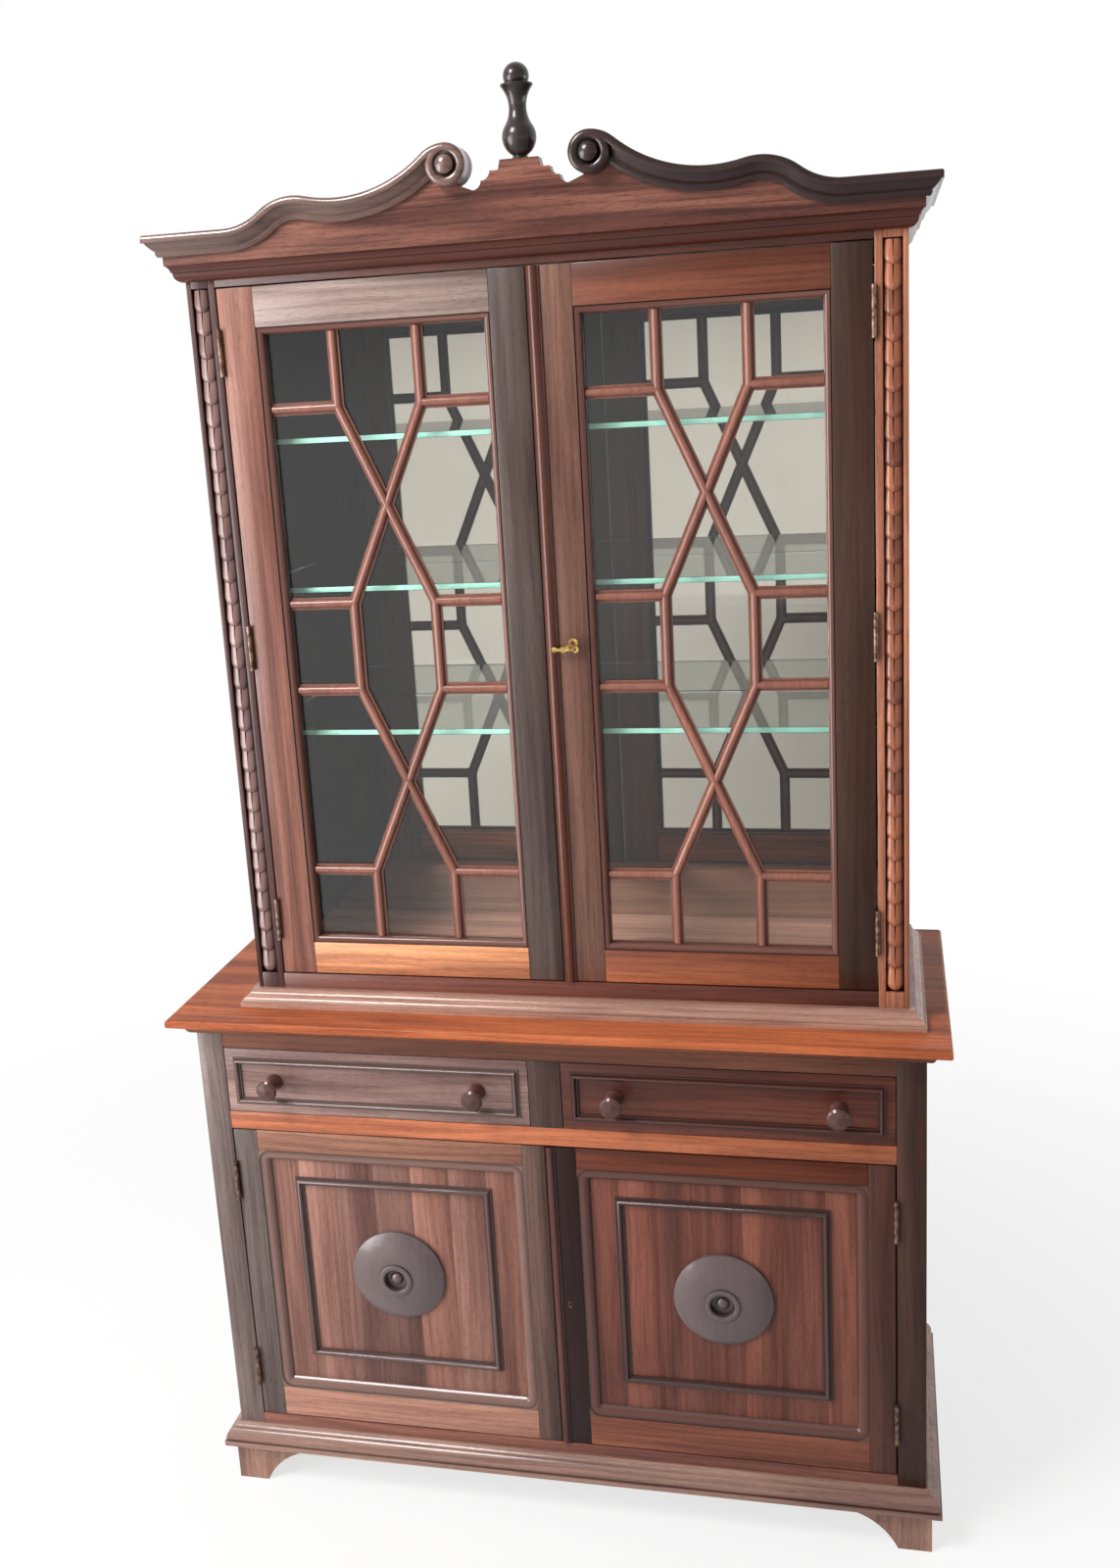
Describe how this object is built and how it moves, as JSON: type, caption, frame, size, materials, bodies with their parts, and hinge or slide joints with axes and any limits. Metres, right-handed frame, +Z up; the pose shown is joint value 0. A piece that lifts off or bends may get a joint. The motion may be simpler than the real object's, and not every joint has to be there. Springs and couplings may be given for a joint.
{
  "type": "glazed bookcase cabinet",
  "caption": "Two-part rosewood bookcase: glazed doors with mitred bars over glass shelves and a mirror back, drawers and panel doors below, swan-neck crown with a turned finial.",
  "frame": {"origin": "on the floor under the middle of the overall box", "axes": "+Z up, +Y from the front to the back, +X to the right seen from the front"},
  "size_m": [1.128, 0.454, 2.077],
  "materials": {
    "rosewood": "French-polished red-brown rosewood",
    "dark_rosewood": "French-polished dark rosewood",
    "inner_wood": "plain unpolished wood",
    "glass": "clear flat glass",
    "mirror": "silvered flat glass",
    "brass": "worn brass"
  },
  "bodies": {
    "case": {"base_top": "rosewood", "base_top_cove": "dark_rosewood", "base_sides": "rosewood", "base_back": "inner_wood", "base_boards": "inner_wood", "base_front_stiles": "rosewood", "base_top_rail": "rosewood", "drawer_muntin": "rosewood", "drawer_rail": "rosewood", "base_bottom_rail": "rosewood", "drawer_guides": "inner_wood", "plinth_moulding": "dark_rosewood", "bracket_feet": "rosewood", "upper_sides": "rosewood", "upper_floor": "rosewood", "upper_roof": "inner_wood", "mirror": "mirror", "upper_back_panel": "inner_wood", "upper_front_stiles": "rosewood", "carved_strips": "rosewood", "upper_rails": "rosewood", "waist_moulding": "dark_rosewood", "cornice_moulding": "dark_rosewood", "glass_shelves": "glass", "shelf_pins": "brass", "case_hinge_leaves": "brass", "pediment_board": "rosewood", "right_swan_neck": "dark_rosewood", "left_swan_neck": "dark_rosewood", "finial": "dark_rosewood"},
    "left_drawer": {"left_drawer_front": "rosewood", "left_drawer_box": "inner_wood", "left_drawer_knobs": "rosewood"},
    "right_drawer": {"right_drawer_front": "rosewood", "right_drawer_box": "inner_wood", "right_drawer_knobs": "rosewood"},
    "left_glazed_door": {"left_glazed_door_frame": "rosewood", "left_glazed_door_glazing_bars": "rosewood", "left_glazed_door_panes": "glass", "left_glazed_door_hinge_leaves": "brass"},
    "right_glazed_door": {"right_glazed_door_frame": "rosewood", "right_glazed_door_glazing_bars": "rosewood", "right_glazed_door_panes": "glass", "right_glazed_door_hinge_leaves": "brass", "right_glazed_door_astragal": "rosewood", "right_glazed_door_lock": "brass"},
    "lock_bolt": {"lock_bolt": "brass"},
    "key": {"key": "brass"},
    "left_panel_door": {"left_panel_door_frame": "rosewood", "left_panel_door_panel": "rosewood", "left_panel_door_bead_frame": "rosewood", "left_panel_door_boss": "dark_rosewood", "left_panel_door_hinge_leaves": "brass"},
    "right_panel_door": {"right_panel_door_frame": "rosewood", "right_panel_door_panel": "rosewood", "right_panel_door_bead_frame": "rosewood", "right_panel_door_boss": "dark_rosewood", "right_panel_door_hinge_leaves": "brass", "right_panel_door_astragal": "rosewood", "right_panel_door_lock": "brass"}
  },
  "joints": [
    {"name": "left_glazed_door_hinge", "type": "hinge", "parent": "case", "child": "left_glazed_door", "pos_m": [-0.401, -0.1455, 0.848], "axis": [0, 0, -1], "range_deg": [0, 170]},
    {"name": "left_panel_door_hinge", "type": "hinge", "parent": "case", "child": "left_panel_door", "pos_m": [-0.49, -0.1925, 0.117], "axis": [0, 0, -1], "range_deg": [0, 170]},
    {"name": "left_drawer_slide", "type": "slide", "parent": "case", "child": "left_drawer", "axis": [0, -1, 0], "range_m": [0, 0.28]},
    {"name": "right_glazed_door_hinge", "type": "hinge", "parent": "case", "child": "right_glazed_door", "pos_m": [0.467, -0.1455, 0.848], "axis": [0, 0, 1], "range_deg": [0, 170]},
    {"name": "right_panel_door_hinge", "type": "hinge", "parent": "case", "child": "right_panel_door", "pos_m": [0.49, -0.1925, 0.117], "axis": [0, 0, 1], "range_deg": [0, 170]},
    {"name": "right_drawer_slide", "type": "slide", "parent": "case", "child": "right_drawer", "axis": [0, -1, 0], "range_m": [0, 0.28]},
    {"name": "key_turn", "type": "hinge", "parent": "right_glazed_door", "child": "key", "pos_m": [0.054, -0.142, 1.334], "axis": [0, 1, 0], "range_deg": [0, 90]},
    {"name": "lock_bolt_slide", "type": "slide", "parent": "right_glazed_door", "child": "lock_bolt", "axis": [-1, 0, 0], "range_m": [0, 0.008]}
  ],
  "couplings": [
    {"joint": "key_turn", "follows": "lock_bolt_slide", "rad_per_m": 196.34}
  ]
}
